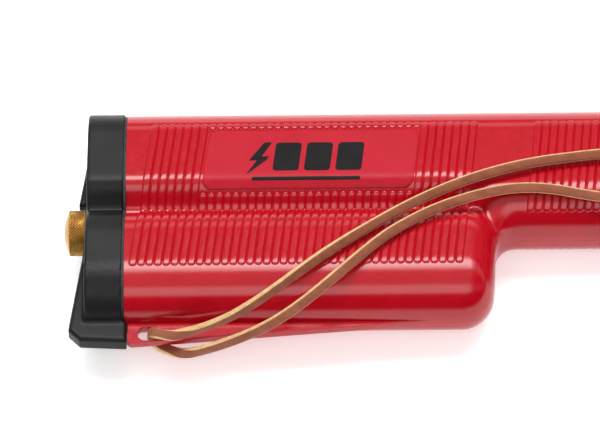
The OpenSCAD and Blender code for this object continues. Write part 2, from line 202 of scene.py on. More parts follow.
def round_meet(a, b, r):
    """Where both a and b are inside, with a rounded edge of radius r."""
    a, b = a + r, b + r
    inside = np.minimum(np.maximum(a, b), 0.0)
    return inside + np.hypot(np.maximum(a, 0.0), np.maximum(b, 0.0)) - r


def ellipse(a, b, reach_a, reach_b):
    """Near distance from an ellipse round the origin with the given half axes."""
    scaled = np.hypot(a / reach_a, b / reach_b)
    slope = np.hypot(a / reach_a**2, b / reach_b**2)
    return scaled * (scaled - 1) / np.maximum(slope, 1e-6)


def ease(x, start, end):
    """Smooth climb from 0 at start to 1 at end."""
    t = np.clip((x - start) / (end - start), 0.0, 1.0)
    return t * t * (3 - 2 * t)


LOWER_CREST = -77.6
LOWER_SHOULDER = -64.9
LOWER_EDGE = 6.5
SHOULDER_H = 15.0
STEP_LEAN = 0.06
STEP_MIDDLE_Y = -60.0
FRONT_R = 12.0
HANDLE_FRONT_R = 9.0
VALLEY_BLEND = 3.0
FLANK_Y = -41.0
FLANK_SLOPE = 46.0
FLANK_BLEND = 1.6
FLANK_FADE = 8.0
FLANK_FADE_X = (124.0, 136.0)
HANDLE_GROWS_X = (130.0, 144.0)
STEP_BLEND = 10.0
STEP_BLEND_X = (132.0, 144.0)


def upper_section(x, y, z):
    """Round-ended lobe along the top edge; it grows taller where it becomes the handle."""
    tall = LOBE_H + (HANDLE_H - LOBE_H) * ease(x, *HANDLE_GROWS_X)
    over = np.abs(y + tall / 2) - tall / 2 + HALF_T
    lobe = np.hypot(np.maximum(over, 0.0), z) - HALF_T
    slope = math.radians(FLANK_SLOPE)
    away = FLANK_FADE * ease(x, *FLANK_FADE_X)
    flank = (FLANK_Y - y) * math.sin(slope) + (np.abs(z) - HALF_T) * math.cos(slope) - away
    return -smooth_union(-lobe, -flank, FLANK_BLEND)


def lower_section(y, z):
    """Lower lobe: elliptical underneath, flat sides, softly rounded shoulders on top."""
    belly = ellipse(np.minimum(y - LOWER_CREST, 0.0), z, BODY_H + LOWER_CREST, HALF_T)
    out = np.maximum(np.abs(z) - LOWER_EDGE, 0.0)
    up = np.maximum(y - LOWER_SHOULDER, 0.0)
    shoulder = ellipse(up, out, SHOULDER_H, HALF_T - LOWER_EDGE)
    sides = np.abs(z) - HALF_T
    return np.where(y < LOWER_CREST, belly, np.where(y > LOWER_SHOULDER, shoulder, sides))


def body_section(x, y, z):
    """Both lobes' distances and the width of the fillet in the valley between them."""
    blend = VALLEY_BLEND + (STEP_BLEND - VALLEY_BLEND) * ease(x, *STEP_BLEND_X)
    return upper_section(x, y, z), lower_section(y, z), blend


def case_field(p):
    """Distance of points p from the outside of the case, negative inside."""
    x, y, z = p[..., 0], p[..., 1], p[..., 2]
    upper, lower, blend = body_section(x, y, z)
    handle = round_meet(upper, x - CASE_L, HANDLE_FRONT_R)
    step = x - (STEP_X + STEP_LEAN * (y - STEP_MIDDLE_Y))
    return smooth_union(handle, round_meet(lower, step, FRONT_R), blend)


def polygon_field(x, y, corners):
    """Distance from a convex outline whose corners run anticlockwise."""
    worst = None
    for (ax, ay), (bx, by) in zip(corners, corners[1:] + corners[:1]):
        length = math.hypot(bx - ax, by - ay)
        d = ((by - ay) * (x - ax) - (bx - ax) * (y - ay)) / length
        worst = d if worst is None else np.maximum(worst, d)
    return worst


WING = [(-14.5, -10.0), (-18.6, -40.9), (-10.0, -40.9), (-10.0, -10.0)]
FOOT = [
    (-14.6, -50.0), (-21.0, -98.4), (-21.2, -100.6), (-16.8, -105.2), (1.0, -106.2),
    (1.0, -88.0), (-8.0, -50.0),
]
WING_HALF_T = 2.4
WING_R = 1.2
FOOT_HALF_T = 3.4
FOOT_R = 1.6
BODY_GAP = 0.2
CAP_BACK_R = 0.9
CAP_LIP_R = 0.4
FIN_BLEND = 1.0
CAP_BLEND = 1.6
BOSS_R = 6.4
BOSS_FRONT = -4.0


def cap_field(p):
    """Distance from the end cap: a hollow band with a wing, a foot and the screw's boss."""
    x, y, z = p[..., 0], p[..., 1], p[..., 2]
    section = smooth_union(*body_section(x, y, z))
    band = round_meet(section - CAP_PROUD, CAP_BACK - x, CAP_BACK_R)
    band = round_meet(band, x - CAP_FRONT, CAP_LIP_R)
    wing = round_meet(polygon_field(x, y, WING), np.abs(z) - WING_HALF_T, WING_R)
    foot = round_meet(polygon_field(x, y, FOOT), np.abs(z) - FOOT_HALF_T, FOOT_R)
    foot = np.maximum(foot, np.minimum(x - CAP_FRONT, y + BODY_H + BODY_GAP))
    outside = smooth_union(band, smooth_union(wing, foot, FIN_BLEND), CAP_BLEND)
    boss = np.maximum(np.hypot(y - SCREW_Y, z) - BOSS_R, x - BOSS_FRONT)
    cavity = np.maximum(section + WALL, CAP_BACK + CAP_WALL - x)
    return np.maximum(outside, -np.maximum(cavity, -boss))


def surface(field, low, high, step):
    """Points and quads of the field's zero surface, one point in each cell that it crosses."""
    counts = [int(math.ceil((b - a) / step)) + 1 for a, b in zip(low, high)]
    axes = [low[i] + step * np.arange(counts[i]) for i in range(3)]
    grid = np.stack(np.meshgrid(*axes, indexing="ij"), axis=-1)
    value = field(grid)
    inside = value < 0
    cells = tuple(c - 1 for c in counts)
    total = np.zeros(cells + (3,))
    hits = np.zeros(cells)
    corners = [(i, j, k) for i in (0, 1) for j in (0, 1) for k in (0, 1)]

    def part(array, corner):
        return array[tuple(slice(c, c + n) for c, n in zip(corner, cells))]

    for a in corners:
        for axis in range(3):
            if a[axis]:
                continue
            b = tuple(v + (i == axis) for i, v in enumerate(a))
            va, vb = part(value, a), part(value, b)
            cross = part(inside, a) != part(inside, b)
            share = np.where(cross, va / np.where(cross, va - vb, 1.0), 0.0)
            point = np.array(a, dtype=float) + share[..., None] * np.eye(3)[axis]
            total += np.where(cross[..., None], point, 0.0)
            hits += cross
    used = hits > 0
    index = -np.ones(cells, dtype=int)
    index[used] = np.arange(used.sum())
    where = np.argwhere(used)
    points = np.array(low) + step * (where + total[used] / hits[used][:, None])
    faces = []
    for axis in range(3):
        u, v = (axis + 1) % 3, (axis + 2) % 3
        near = [slice(0, n) for n in counts]
        far = [slice(0, n) for n in counts]
        near[axis], far[axis] = slice(0, -1), slice(1, None)
        flips = inside[tuple(near)] != inside[tuple(far)]
        starts = inside[tuple(near)]
        for spot in np.argwhere(flips):
            if spot[u] == 0 or spot[v] == 0 or spot[u] >= cells[u] or spot[v] >= cells[v]:
                continue
            quad = []
            for du, dv in ((-1, -1), (0, -1), (0, 0), (-1, 0)):
                cell = list(spot)
                cell[u] += du
                cell[v] += dv
                quad.append(index[tuple(cell)])
            faces.append(quad if starts[tuple(spot)] else quad[::-1])
    return points, faces


def gradient(field, points, eps=0.02):
    """Slope of the field at each point, from differences over eps to both sides."""
    steps = [np.eye(3)[i] * eps for i in range(3)]
    return np.stack([(field(points + s) - field(points - s)) / (2 * eps) for s in steps], axis=-1)


def settle(field, points, rounds=4):
    """Moves points along the field's gradient until they lie on its zero surface."""
    for _ in range(rounds):
        slope = gradient(field, points)
        size = np.maximum((slope**2).sum(axis=-1), 0.2)
        points = points - slope * (field(points) / size)[:, None]
    return points


def cut(obj, point, normal, fill=False):
    """Cuts away the side of obj that normal points to; point is in case millimetres."""
    mesh = bmesh.new()
    mesh.from_mesh(obj.data)
    everything = mesh.verts[:] + mesh.edges[:] + mesh.faces[:]
    result = bmesh.ops.bisect_plane(
        mesh, geom=everything, dist=1e-7, plane_co=Vector(metres(point)),
        plane_no=Vector(normal), clear_outer=True,
    )
    if fill:
        edges = [e for e in result["geom_cut"] if isinstance(e, bmesh.types.BMEdge)]
        bmesh.ops.triangle_fill(mesh, use_beauty=True, edges=edges)
        bmesh.ops.recalc_face_normals(mesh, faces=mesh.faces[:])
    mesh.to_mesh(obj.data)
    mesh.free()


def apply_modifiers(obj):
    """Replaces obj's mesh by the one that its modifiers make."""
    graph = bpy.context.evaluated_depsgraph_get()
    made = bpy.data.meshes.new_from_object(obj.evaluated_get(graph))
    obj.modifiers.clear()
    obj.data = made


SEARCH_TOP = 20.0
HALVINGS = 26


def height(x, y):
    """Height of the case's surface above the seam at places x, y, found by halving."""
    low = np.zeros(np.shape(x))
    high = np.full(np.shape(x), SEARCH_TOP)
    for _ in range(HALVINGS):
        middle = (low + high) / 2
        outside = case_field(np.stack([x, y, middle], axis=-1)) > 0
        high = np.where(outside, middle, high)
        low = np.where(outside, low, middle)
    return (low + high) / 2


# ---- materials -------------------------------------------------------------------------


class Nodes:
    """A material's node tree with short calls for the nodes used here."""

    def __init__(self, name):
        self.material = bpy.data.materials.new(name)
        self.material.use_nodes = True
        self.tree = self.material.node_tree
        self.tree.nodes.clear()
        self.shader = self.add("ShaderNodeBsdfPrincipled")
        output = self.add("ShaderNodeOutputMaterial")
        self.link(self.shader.outputs["BSDF"], output.inputs["Surface"])
        self.coords = self.add("ShaderNodeTexCoord").outputs["Object"]

    def add(self, kind):
        return self.tree.nodes.new(kind)

    def link(self, a, b):
        self.tree.links.new(a, b)

    def set(self, **values):
        """Sets numbers on the shader's own sockets."""
        names = {
            "rough": "Roughness", "metal": "Metallic", "coat": "Coat Weight",
            "sheen": "Sheen Weight", "sheen_rough": "Sheen Roughness",
            "specular": "Specular IOR Level", "glow": "Emission Strength",
        }
        for key, value in values.items():
            self.shader.inputs[names[key]].default_value = value

    def noise(self, scale, detail=3.0, rough=0.5, stretch=(1, 1, 1)):
        mapping = self.add("ShaderNodeMapping")
        mapping.inputs["Scale"].default_value = stretch
        self.link(self.coords, mapping.inputs["Vector"])
        node = self.add("ShaderNodeTexNoise")
        node.inputs["Scale"].default_value = scale
        node.inputs["Detail"].default_value = detail
        node.inputs["Roughness"].default_value = rough
        self.link(mapping.outputs["Vector"], node.inputs["Vector"])
        return node.outputs["Fac"]

    def ramp(self, factor, stops):
        """Colours by factor; stops are (place, (r, g, b)) pairs."""
        node = self.add("ShaderNodeValToRGB")
        ramp = node.color_ramp
        while len(ramp.elements) < len(stops):
            ramp.elements.new(0.5)
        for element, (place, color) in zip(ramp.elements, stops):
            element.position = place
            element.color = (*color, 1.0)
        self.link(factor, node.inputs["Fac"])
        return node.outputs["Color"]

    def levels(self, factor, low, high):
        """Spreads a noise's middle range to values from low to high."""
        node = self.add("ShaderNodeMapRange")
        node.inputs["From Min"].default_value = 0.3
        node.inputs["From Max"].default_value = 0.7
        node.inputs["To Min"].default_value = low
        node.inputs["To Max"].default_value = high
        self.link(factor, node.inputs["Value"])
        return node.outputs["Result"]

    def bump(self, factor, distance, strength=1.0, under=None):
        """Adds relief to the shader's normal, on top of the relief under it."""
        node = self.add("ShaderNodeBump")
        node.inputs["Distance"].default_value = distance
        node.inputs["Strength"].default_value = strength
        self.link(factor, node.inputs["Height"])
        if under is not None:
            self.link(under, node.inputs["Normal"])
        self.link(node.outputs["Normal"], self.shader.inputs["Normal"])
        return node.outputs["Normal"]

    def color(self, socket):
        self.link(socket, self.shader.inputs["Base Color"])

    def rough(self, socket):
        self.link(socket, self.shader.inputs["Roughness"])


def moulded(name, dark, light, rough, grain, depth, shine=0.5, blotch=90.0):
    """Moulded plastic: slight colour drift, faint sheen marks and a fine skin texture."""
    m = Nodes(name)
    m.set(specular=shine)
    m.color(m.ramp(m.noise(blotch, 4.0, 0.55), [(0.35, dark), (0.65, light)]))
    m.rough(m.levels(m.noise(blotch * 5, 3.0), rough[0], rough[1]))
    first = m.bump(m.noise(grain, 2.0, 0.6), depth)
    m.bump(m.noise(60.0, 2.0), depth * 4, 0.5, first)
    return m.material


def red_plastic():
    return moulded(
        "red_plastic", (0.42, 0.001, 0.008), (0.45, 0.002, 0.011), (0.13, 0.19), 1500.0,
        0.000001,
    )


def black_rubbery():
    return moulded(
        "black_rubbery", (0.006, 0.006, 0.0065), (0.010, 0.010, 0.011), (0.34, 0.46), 2200.0,
        0.00001, 0.2,
    )


def black_moulded():
    return moulded(
        "black_moulded", (0.016, 0.016, 0.017), (0.028, 0.028, 0.030), (0.38, 0.52), 1800.0,
        0.00002,
    )


def rubber_seal():
    return moulded(
        "rubber_seal", (0.010, 0.010, 0.010), (0.020, 0.020, 0.020), (0.6, 0.75), 3000.0,
        0.00002,
    )


def pale_moulded():
    return moulded(
        "pale_moulded", (0.66, 0.60, 0.46), (0.74, 0.68, 0.55), (0.4, 0.5), 1800.0, 0.00001
    )


def film():
    return moulded(
        "label_film", (0.43, 0.007, 0.020), (0.47, 0.009, 0.025), (0.30, 0.40), 1500.0,
        0.000006, 0.12, 45.0,
    )


def ink():
    return moulded(
        "label_ink", (0.004, 0.003, 0.004), (0.008, 0.006, 0.007), (0.35, 0.5), 3000.0,
        0.000004, 0.1,
    )


def metal(name, dark, light, rough, scale=900.0, stretch=(1, 1, 1), depth=0.000006):
    """Bare metal with a drifting tone and fine marks; stretch draws the marks out."""
    m = Nodes(name)
    m.set(metal=1.0)
    m.color(m.ramp(m.noise(140.0, 5.0, 0.6), [(0.3, dark), (0.7, light)]))
    m.rough(m.levels(m.noise(scale, 4.0, 0.6, stretch), rough[0], rough[1]))
    m.bump(m.noise(scale, 3.0, 0.6, stretch), depth)
    return m.material


def brass():
    return metal("brass_dulled", (0.34, 0.17, 0.035), (0.56, 0.31, 0.08), (0.26, 0.42))


def contact_brass():
    return metal("contact_brass", (0.62, 0.50, 0.26), (0.74, 0.62, 0.36), (0.2, 0.32))


def steel():
    return metal("zinc_steel", (0.50, 0.51, 0.53), (0.64, 0.65, 0.66), (0.25, 0.4))


def core_iron():
    return metal(
        "laminated_iron", (0.16, 0.16, 0.17), (0.30, 0.30, 0.31), (0.4, 0.6), 500.0,
        (0.2, 0.2, 9.0), 0.00004,
    )


def copper():
    return metal(
        "winding_copper", (0.48, 0.16, 0.05), (0.66, 0.28, 0.10), (0.25, 0.35), 700.0,
        (0.2, 6.0, 0.2), 0.00008,
    )


def jacket():
    """Dark sleeve of a cell, slightly metallic."""
    m = Nodes("cell_jacket")
    m.set(metal=0.4, coat=0.3)
    stops = [(0.3, (0.02, 0.022, 0.028)), (0.7, (0.04, 0.042, 0.05))]
    m.color(m.ramp(m.noise(160.0, 3.0), stops))
    m.rough(m.levels(m.noise(500.0), 0.25, 0.36))
    m.bump(m.noise(900.0), 0.000005)
    return m.material


def board():
    """Green solder mask under a clear coat."""
    m = Nodes("solder_mask")
    m.set(coat=0.4)
    stops = [(0.47, (0.01, 0.12, 0.05)), (0.53, (0.02, 0.17, 0.07))]
    m.color(m.ramp(m.noise(900.0, 1.0), stops))
    m.rough(m.levels(m.noise(400.0), 0.3, 0.45))
    m.bump(m.noise(900.0, 1.0), 0.00002)
    return m.material


def lead(name, dark, light):
    return moulded(name, dark, light, (0.3, 0.42), 2000.0, 0.00001)


def leather_face():
    """Brown matt face of the lace: fine pores, long creases and a little sheen."""
    m = Nodes("leather_face")
    m.set(sheen=0.15, sheen_rough=0.5, specular=0.35)
    tone = m.noise(260.0, 6.0, 0.65, (0.5, 1.4, 1.0))
    m.color(m.ramp(tone, [(0.32, (0.23, 0.060, 0.026)), (0.68, (0.36, 0.108, 0.050))]))
    m.rough(m.levels(m.noise(900.0, 4.0), 0.55, 0.75))
    pores = m.bump(m.noise(2600.0, 3.0, 0.7), 0.00006)
    m.bump(m.noise(500.0, 4.0, 0.6, (0.4, 1.5, 1.0)), 0.00008, 0.7, pores)
    return m.material


def leather_edge():
    """Pale cut edge of the lace, fibrous along its length."""
    m = Nodes("leather_edge")
    m.set(sheen=0.2, specular=0.25)
    tone = m.noise(700.0, 6.0, 0.7, (0.5, 1.0, 2.0))
    m.color(m.ramp(tone, [(0.3, (0.52, 0.29, 0.12)), (0.7, (0.80, 0.54, 0.26))]))
    m.rough(m.levels(m.noise(800.0, 4.0), 0.7, 0.9))
    m.bump(m.noise(2400.0, 5.0, 0.7), 0.00007)
    return m.material


RED = red_plastic()
RUBBERY = black_rubbery()
BLACK = black_moulded()
SEAL = rubber_seal()
BRASS = brass()
CONTACT = contact_brass()
STEEL = steel()

# ---- lace, a free cord, before the rest of the object ----------------------------------

LACE_W = 3.9
LACE_T = 2.1
LACE_SPACING = 1.4
LACE_BEVEL = 0.28
LACE_CROWN = 1.03
STEPS_PER_SPAN = 24
UPPER_ROUTE = [
    [9.8, -101.6, 0], [10.4, -101.8, 2.3], [13, -103.2, 3.6], [18, -104.6, 4.4],
    [22.8, -104, 5], [32, -102.5, 7.6], [41, -100.4, 11], [50, -96.8, 14.8],
    [59, -91.5, 17.8], [68, -84.6, 19.3], [77, -77.6, 20], [86, -70.8, 20],
    [96, -63.8, 20], [105, -57.8, 20], [114, -52.4, 20], [123.6, -47.4, 20],
    [133, -43.2, 20], [142, -39.9, 20], [152, -37, 20], [161, -35.1, 20],
    [170, -33.7, 20], [180, -32.4, 20], [194, -31.2, 20], [210, -30.4, 20],
    [230, -30, 20], [250, -30.2, 20], [266, -30.8, 20], [276, -31.3, 20.2],
    [284, -31.8, 20.8],
]
LOWER_ROUTE = [
    [9.8, -101.6, 0], [10.4, -101.8, -2.3], [13, -103.6, -3.8], [18, -106, -3.9],
    [22.6, -107.6, -3.1], [28, -108.3, -0.8], [36, -108.3, 3], [45.4, -107.4, 7.4],
    [54.5, -105.4, 11.7], [63.6, -101.4, 15.6], [72.6, -95.2, 18.5],
    [81.8, -86.8, 19.8], [91, -77.6, 20], [100, -69.4, 20], [109.5, -62.6, 19.8],
    [118.7, -57.3, 19.6], [128, -53, 19.2], [137, -49.9, 19], [146.6, -47.7, 18.9],
    [156, -47.2, 18.8], [165, -48.1, 18.7], [174, -50.1, 18.6], [184, -51.8, 18.5],
    [196, -52, 18.5], [210, -50.4, 18.6], [226, -46.8, 18.9], [242, -42.4, 19.4],
    [256, -38.6, 19.9], [270, -35.4, 20.2], [284, -33.2, 20.8],
]


def smooth_route(route, spacing):
    """Points every spacing along a smooth curve through the route's points."""
    p = np.array(route, dtype=float)
    p = np.vstack([2 * p[0] - p[1], p, 2 * p[-1] - p[-2]])
    fine = []
    for i in range(1, len(p) - 2):
        for t in np.linspace(0, 1, STEPS_PER_SPAN, endpoint=False):
            a = 2 * p[i] + (p[i + 1] - p[i - 1]) * t
            b = (2 * p[i - 1] - 5 * p[i] + 4 * p[i + 1] - p[i + 2]) * t**2
            c = (3 * p[i] - p[i - 1] - 3 * p[i + 1] + p[i + 2]) * t**3
            fine.append((a + b + c) / 2)
    fine = np.array(fine + [p[-2]])
    along = np.concatenate([[0], np.cumsum(np.linalg.norm(np.diff(fine, axis=0), axis=1))])
    count = int(round(along[-1] / spacing)) + 1
    marks = np.linspace(0, along[-1], count)
    return np.stack([np.interp(marks, along, fine[:, i]) for i in range(3)], axis=1), marks


def lace_section():
    """Outline of the flat lace's section, with faces and cut edges slightly crowned."""
    w, t, bevel, crown = LACE_W / 2, LACE_T / 2, LACE_BEVEL, LACE_CROWN
    ring = [(-w + bevel, t), (-w / 3, t * crown), (w / 3, t * crown), (w - bevel, t)]
    ring += [(w - 0.08, t - bevel), (w + 0.05, 0), (w - 0.08, bevel - t)]
    ring += [(w - bevel, -t), (w / 3, -t * crown), (-w / 3, -t * crown), (-w + bevel, -t)]
    ring += [(0.08 - w, bevel - t), (-w - 0.05, 0), (0.08 - w, t - bevel)]
    return np.array(ring)


EDGE_SIDES = (3, 4, 5, 6, 10, 11, 12, 13)


def lace_skin(line, section, across, up):
    """Points and faces of a lace along a line, and which of its faces are cut edge."""
    rings = (
        line[:, None]
        + section[None, :, :1] * across[:, None]
        + section[None, :, 1:] * up[:, None]
    )
    sides = len(section)
    edge = [i % sides in EDGE_SIDES for i in range((len(line) - 1) * sides)] + [True, True]
    return rings.reshape(-1, 3), tube_faces(len(line), sides), edge


def strip(route, twist):
    """Flat lace along a route, and its centreline; twist lists (distance, roll in degrees)."""
    line, marks = smooth_route(route, LACE_SPACING)
    ahead = unit(np.gradient(line, axis=0))
    y = np.array([0.0, 1.0, 0.0])
    side = unit(y - (ahead @ y)[:, None] * ahead)
    top = np.cross(ahead, side)
    roll = np.radians(np.interp(marks, [m for m, _ in twist], [a for _, a in twist]))
    across = side * np.cos(roll)[:, None] + top * np.sin(roll)[:, None]
    up = -side * np.sin(roll)[:, None] + top * np.cos(roll)[:, None]
    return *lace_skin(line, lace_section(), across, up), line


def lace_object(name, points, faces, edge):
    """A lace's mesh with brown faces and pale cut edges."""
    obj = new_object(name, points, faces)
    obj.data.materials.append(LEATHER)
    obj.data.materials.append(CUT_EDGE)
    for polygon, is_edge in zip(obj.data.polygons, edge):
        polygon.material_index = int(is_edge)
    return obj


LEATHER = leather_face()
CUT_EDGE = leather_edge()
UPPER_TWIST = [
    (0, 0), (7, 5), (10, 25), (14, 60), (19, 95), (24, 100), (35, 94), (68, 62), (94, 47),
    (127, 40), (400, 38),
]
LOWER_TWIST = [
    (0, 0), (9, 0), (12, 10), (16, 45), (22, 80), (28, 80), (62, 60), (98, 46), (130, 40),
    (190, 40), (205, 47), (400, 42),
]


def add_strand(name, route, twist):
    """One strand of the lace, from the keel hole to the knot."""
    points, faces, edge, line = strip(route, twist)
    obj = lace_object(name, points, faces, edge)
    finish_piece(obj, "case", "leather_lace", name)


KNOT_CENTRE = np.array([289.5, -32.3, 21.2])
KNOT_W = 3.6
TURN_T = 1.5
TAIL_T = 1.4
TAIL_START = -5.5
TAIL_BOW = 0.5
TAIL_DROP = 2.6
TAIL_DROPS_FROM = 0.45


def knot_turn(radius_y, radius_z, start, end, x0, x1, steps=56):
    """A turn of lace round the two strands, from x0 to x1."""
    angles = np.radians(np.linspace(start, end, steps))
    x = np.linspace(x0, x1, steps)
    route = np.stack([x, radius_y * np.cos(angles), radius_z * np.sin(angles)], axis=1)
    outward = np.stack([0 * x, np.cos(angles) / radius_y, np.sin(angles) / radius_z], axis=1)
    return KNOT_CENTRE + route, unit(outward)


def wrapped(route, outward, thick):
    """Lace in the knot, whose flat face keeps to the outward direction."""
    section = lace_section() * np.array([KNOT_W / LACE_W, thick / LACE_T])
    ahead = unit(np.gradient(route, axis=0))
    side = unit(np.cross(outward, ahead))
    return lace_skin(route, section, side, np.cross(ahead, side))


def add_knot():
    """The knot that ties both strands: two turns and two short tails."""
    pieces = []
    for turn in (
        knot_turn(4.0, 3.3, -60, 330, -3.2, -0.6),
        knot_turn(4.2, 3.5, 120, 520, 0.6, 3.4),
    ):
        pieces.append(wrapped(*turn, TURN_T))
    up = np.array([0.0, 0.0, 1.0])
    for offset, lift, reach, drift in ((1.3, 0.9, 13.0, 2.6), (-1.5, -0.8, 11.0, -3.4)):
        t = np.linspace(0, 1, 26)
        x = TAIL_START + (reach - TAIL_START) * t
        y = offset + drift * t**2
        bow = np.sin(np.pi * t) * TAIL_BOW
        z = lift + bow - TAIL_DROP * np.clip(t - TAIL_DROPS_FROM, 0, 1)
        route = KNOT_CENTRE + np.stack([x, y, z], axis=1)
        pieces.append(wrapped(route, np.tile(up, (len(route), 1)), TAIL_T))
    points, faces = join_parts([(p, f) for p, f, _ in pieces])
    obj = lace_object("lace_knot_tied", points, faces, sum((e for _, _, e in pieces), []))
    finish_piece(obj, "case", "leather_lace", "lace_knot")
    return obj


knot = add_knot()
add_strand("lace_upper", UPPER_ROUTE, UPPER_TWIST)
add_strand("lace_lower", LOWER_ROUTE, LOWER_TWIST)

# ---- case ------------------------------------------------------------------------------

RIB_SLANT = 0.12
RIB_PITCH = 3.169
RIB_W = 3.16
RIB_H = 0.49
RIB_END = 1.3
RIB_PROFILE = [(1, 0), (0.88, 0.3), (0.74, 0.68), (0.6, 0.93), (0.45, 1)]
RIB_TOP = -12.6
RIB_BOTTOM = -80.8
GRIP_BOTTOM = -54.0
RIB_PIVOT = -26.75
RIB_SINK = -0.35
RIB_SPACING = 1.3
RIB_ROUNDING = [0.0, 0.12, 0.35, 0.65]
BODY_RIBS = [9.7 + RIB_PITCH * i for i in range(40)]
GRIP_RIBS = [158.4 + RIB_PITCH * i for i in range(17)]
FIRST_RIB_X = 1.2
LABEL_Q = (31.3, 112.2)
LABEL_Y = (-43.0, -16.8)
LABEL_GAP_Q = 1.4
LABEL_GAP_Y = 1.0


def slanted(q, y):
    """x at height y of the slanted rib line that is at x = q where y is RIB_PIVOT."""
    return q + RIB_SLANT * (y - RIB_PIVOT)


def rib_part(q, y0, y1, side):
    """One half-round rib with round ends along line q from y0 down to y1."""
    end = RIB_END
    rounding = np.array(RIB_ROUNDING)
    runs = np.concatenate([
        y0 - end * rounding,
        np.linspace(y0 - end, y1 + end, max(int((y0 - y1) / RIB_SPACING), 4)),
        y1 + end * rounding[::-1],
    ])
    near = np.minimum(np.abs(y0 - runs), np.abs(runs - y1))
    scale = np.sqrt(np.clip(1 - (1 - np.clip(near / end, 0, 1)) ** 2, 0.004, 1))
    x = slanted(q, runs)
    foot = np.stack([x, runs, height(x, runs)], axis=-1)
    up = unit(gradient(case_field, foot))
    across = np.cross(up, unit(np.gradient(foot, axis=0)))
    half = np.array(RIB_PROFILE)
    wide = np.concatenate([half[:, 0], [0.0], -half[::-1, 0]]) * RIB_W / 2
    tall = np.concatenate([half[:, 1], [1.0], half[::-1, 1]]) * RIB_H
    wide = np.concatenate([wide, [-RIB_W / 2, RIB_W / 2]])
    tall = np.concatenate([tall, [RIB_SINK, RIB_SINK]])
    rise = np.where(tall > 0, tall, 0.0)[None, :] * scale[:, None] + np.where(tall < 0, tall, 0.0)
    rings = (
        foot[:, None]
        + (wide[None, :] * scale[:, None])[..., None] * across[:, None]
        + rise[..., None] * up[:, None]
    )
    points = rings.reshape(-1, 3) * np.array([1, 1, side])
    faces = tube_faces(len(runs), len(wide))
    return points, faces if side < 0 else [f[::-1] for f in faces]


def rib_parts(side, label):
    """The ribs of one broad side; where there is a label they stop above and below it."""
    parts = []
    for q in BODY_RIBS:
        spans = [(RIB_TOP, RIB_BOTTOM)]
        if label and LABEL_Q[0] - LABEL_GAP_Q < q < LABEL_Q[1] + LABEL_GAP_Q:
            spans = [(RIB_TOP, LABEL_Y[1] + LABEL_GAP_Y), (LABEL_Y[0] - LABEL_GAP_Y, RIB_BOTTOM)]
        for y0, y1 in spans:
            if slanted(q, y1) > FIRST_RIB_X:
                parts.append(rib_part(q, y0, y1, side))
    parts += [rib_part(q, RIB_TOP, GRIP_BOTTOM, side) for q in GRIP_RIBS]
    return parts


SEAM = 0.05
CAP_JOINT_X = 0.05
THIN_FROM_X = 126
SKIN_STEP = 1.2


def shell_skin():
    """Right half of the case's outer skin, thickened inwards to the wall."""
    low = (-3.0, -BODY_H - 2.5, -2.4)
    high = (CASE_L + 2.5, 2.5, HALF_T + 2.5)
    points, faces = surface(case_field, low, high, SKIN_STEP)
    obj = new_object("skin", settle(case_field, points), faces)
    cut(obj, (CAP_JOINT_X, 0, 0), (-1, 0, 0))
    cut(obj, (0, 0, SEAM), (0, 0, -1))
    thick = obj.vertex_groups.new(name="thick")
    thin_from = metres((THIN_FROM_X, 0, 0))[0]
    thick.add([v.index for v in obj.data.vertices if v.co.x < thin_from], 1, "ADD")
    wall = obj.modifiers.new("wall", "SOLIDIFY")
    wall.thickness = WALL * MM
    wall.offset = -1
    wall.vertex_group = thick.name
    wall.thickness_vertex_group = THIN_WALL / WALL
    apply_modifiers(obj)
    return obj


KEEL_BEVEL = 0.35
HOLE_X = 9.3
HOLE_Y = -BODY_H - 4.6
HOLE_R = 2.7
HOLE_REACH = 1.3
HOLE_SIDES = 32


def keel_plate():
    """The whole keel: a bevelled plate with the slot for the lace."""
    curve = bpy.data.curves.new("keel", "CURVE")
    curve.dimensions = "2D"
    curve.fill_mode = "BOTH"
    low = KEEL_LOW
    outline = [
        (KEEL_X, -BODY_H + 6), (KEEL_X, low + 1.5), (KEEL_X + 0.6, low + 0.6),
        (KEEL_X + 1.8, low + 0.3), (KEEL_TIP_X, -BODY_H + 0.3), (KEEL_TIP_X + 3, -BODY_H + 6),
    ]
    hole_r = HOLE_R + KEEL_BEVEL
    hole = []
    for k in range(HOLE_SIDES):
        a = 2 * math.pi * k / HOLE_SIDES
        x = HOLE_X + hole_r * math.cos(a) + math.copysign(HOLE_REACH, math.cos(a))
        hole.append((x, HOLE_Y + hole_r * math.sin(a)))
    for ring in (outline, hole):
        spline = curve.splines.new("POLY")
        spline.points.add(len(ring) - 1)
        for point, (x, y) in zip(spline.points, ring):
            point.co = (x, y, 0, 1)
        spline.use_cyclic_u = True
    curve.extrude = KEEL_T / 2 - KEEL_BEVEL
    curve.bevel_depth = KEEL_BEVEL
    curve.bevel_resolution = 3
    curve.offset = -KEEL_BEVEL
    obj = bpy.data.objects.new("keel", curve)
    bpy.context.collection.objects.link(obj)
    mesh = bpy.data.meshes.new_from_object(
        obj.evaluated_get(bpy.context.evaluated_depsgraph_get())
    )
    points = np.array([v.co[:] for v in mesh.vertices])
    faces = [list(p.vertices) for p in mesh.polygons]
    bpy.data.objects.remove(obj)
    return points, faces


def keel_half(side):
    """Points and faces of the keel from the seam outwards."""
    piece = new_object("keel_half", *keel_plate())
    cut(piece, (0, 0, SEAM), (0, 0, -1), fill=True)
    half = taken(piece, side)
    bpy.data.objects.remove(piece)
    return half


def add_shell(name, node, side, label, skin):
    """One half of the case with its keel and ribs; side is 1 on the right and -1 on the left."""
    parts = [taken(skin, side), keel_half(side)] + rib_parts(side, label)
    obj = new_object(name, *join_parts(parts))
    obj.data.materials.append(RED)
    obj.data.set_sharp_from_angle(angle=math.radians(38))
    finish_piece(obj, "case", "case_red", node)


